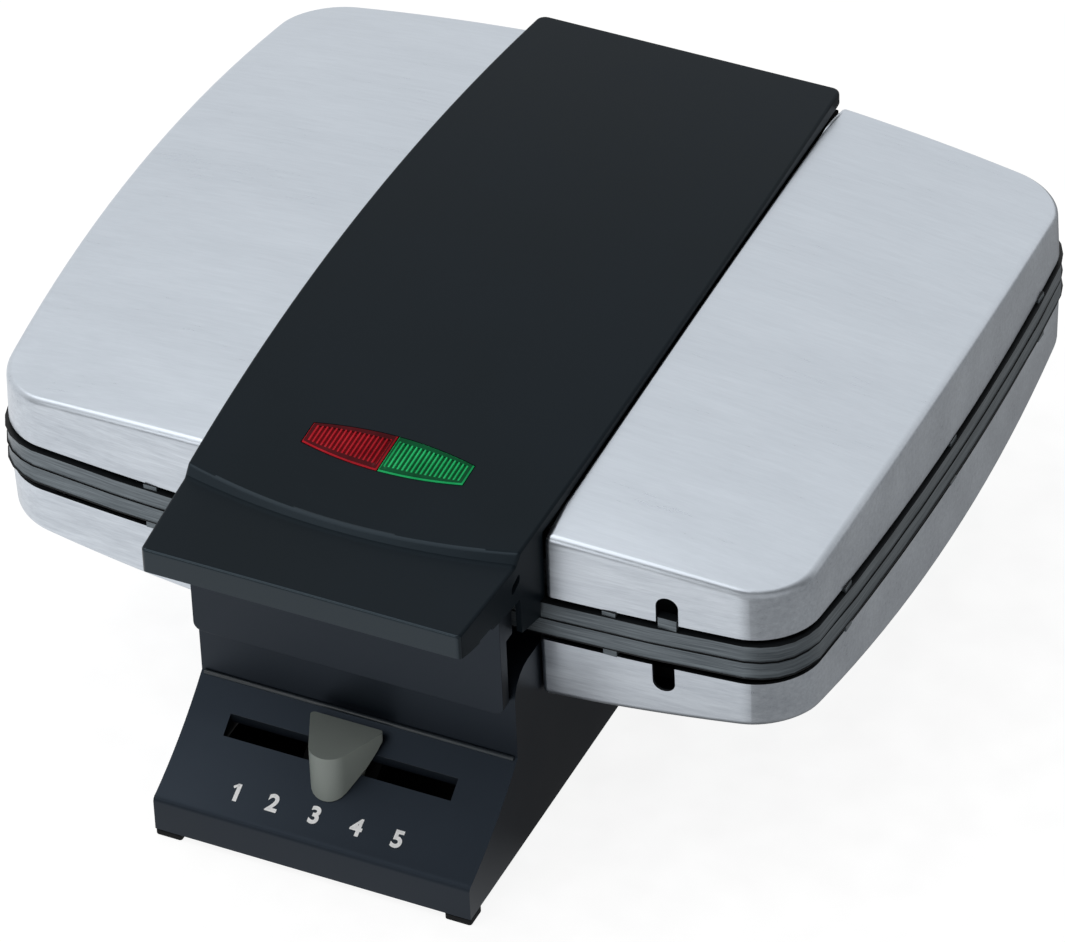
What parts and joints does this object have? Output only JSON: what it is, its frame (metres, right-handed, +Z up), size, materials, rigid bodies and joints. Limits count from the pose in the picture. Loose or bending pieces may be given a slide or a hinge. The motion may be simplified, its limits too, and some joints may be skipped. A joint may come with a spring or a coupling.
{
  "type": "belgian waffle maker",
  "caption": "Countertop Belgian waffle maker with hinged lid and handle, brushed steel covers, ribbed baking plates, indicator lenses and a sliding heat control on a sloped console.",
  "frame": {"origin": "on the floor, at the middle of the bounding box seen from above", "axes": "+Z up, -Y towards the handle and the heat slider, +X to the right seen from the front"},
  "size_m": [0.2922, 0.313, 0.1273],
  "materials": {
    "brushed_steel": "brushed along X, satin",
    "cast_plate": "cast, dark non-stick coating",
    "black_plastic": "fine satin grain",
    "taupe_plastic": "satin",
    "ivory_plastic": "moulded",
    "red_lens": "clear tinted, ribbed",
    "green_lens": "clear tinted, ribbed",
    "lamp_glass": "clear",
    "zinc_steel": "zinc plated",
    "element_sheath": "oxidised steel sheath",
    "rubber": "matte"
  },
  "bodies": {
    "base": {"base_housing": "black_plastic", "bottom_cover": "black_plastic", "foot_front_left": "rubber", "foot_front_right": "rubber", "foot_rear_left": "rubber", "foot_rear_right": "rubber", "bottom_screw_front_left": "zinc_steel", "bottom_screw_front_right": "zinc_steel", "bottom_screw_rear_left": "zinc_steel", "bottom_screw_rear_right": "zinc_steel", "steel_cover_lower_left": "brushed_steel", "steel_cover_lower_right": "brushed_steel", "lower_baking_plate": "cast_plate", "waffle_grid_lower_left": "cast_plate", "waffle_grid_lower_right": "cast_plate", "lower_heating_element": "element_sheath", "lower_reflector": "zinc_steel", "thermostat": "ivory_plastic", "slider_rail": "zinc_steel", "terminal_block": "ivory_plastic", "cord_bushing": "rubber", "hinge_pin": "zinc_steel"},
    "lid": {"lid_cover": "black_plastic", "handle_base": "black_plastic", "lid_frame": "black_plastic", "lens_red": "red_lens", "lens_green": "green_lens", "lamp_holder": "ivory_plastic", "lamp_left": "lamp_glass", "lamp_right": "lamp_glass", "steel_cover_upper_left": "brushed_steel", "steel_cover_upper_right": "brushed_steel", "upper_baking_plate": "cast_plate", "waffle_grid_upper_left": "cast_plate", "waffle_grid_upper_right": "cast_plate", "upper_heating_element": "element_sheath", "upper_reflector": "zinc_steel"},
    "slider": {"slider_knob": "taupe_plastic", "slider_carriage": "black_plastic"},
    "lever": {"thermostat_lever": "zinc_steel", "thermostat_spindle": "zinc_steel"}
  },
  "joints": [
    {"name": "lid_hinge", "type": "hinge", "parent": "base", "child": "lid", "pos_m": [0, 0.14905, 0.0846], "axis": [-1, 0, 0], "range_deg": [0, 100]},
    {"name": "heat_slide", "type": "slide", "parent": "base", "child": "slider", "axis": [1, 0, 0], "range_m": [-0.031, 0.031]},
    {"name": "lever_turn", "type": "hinge", "parent": "base", "child": "lever", "pos_m": [-0.0014, -0.07035, 0.02], "axis": [0, 0, 1], "range_deg": [-27.5, 27.5]}
  ],
  "couplings": [
    {"joint": "lever_turn", "follows": "heat_slide", "rad_per_m": 15.38}
  ]
}
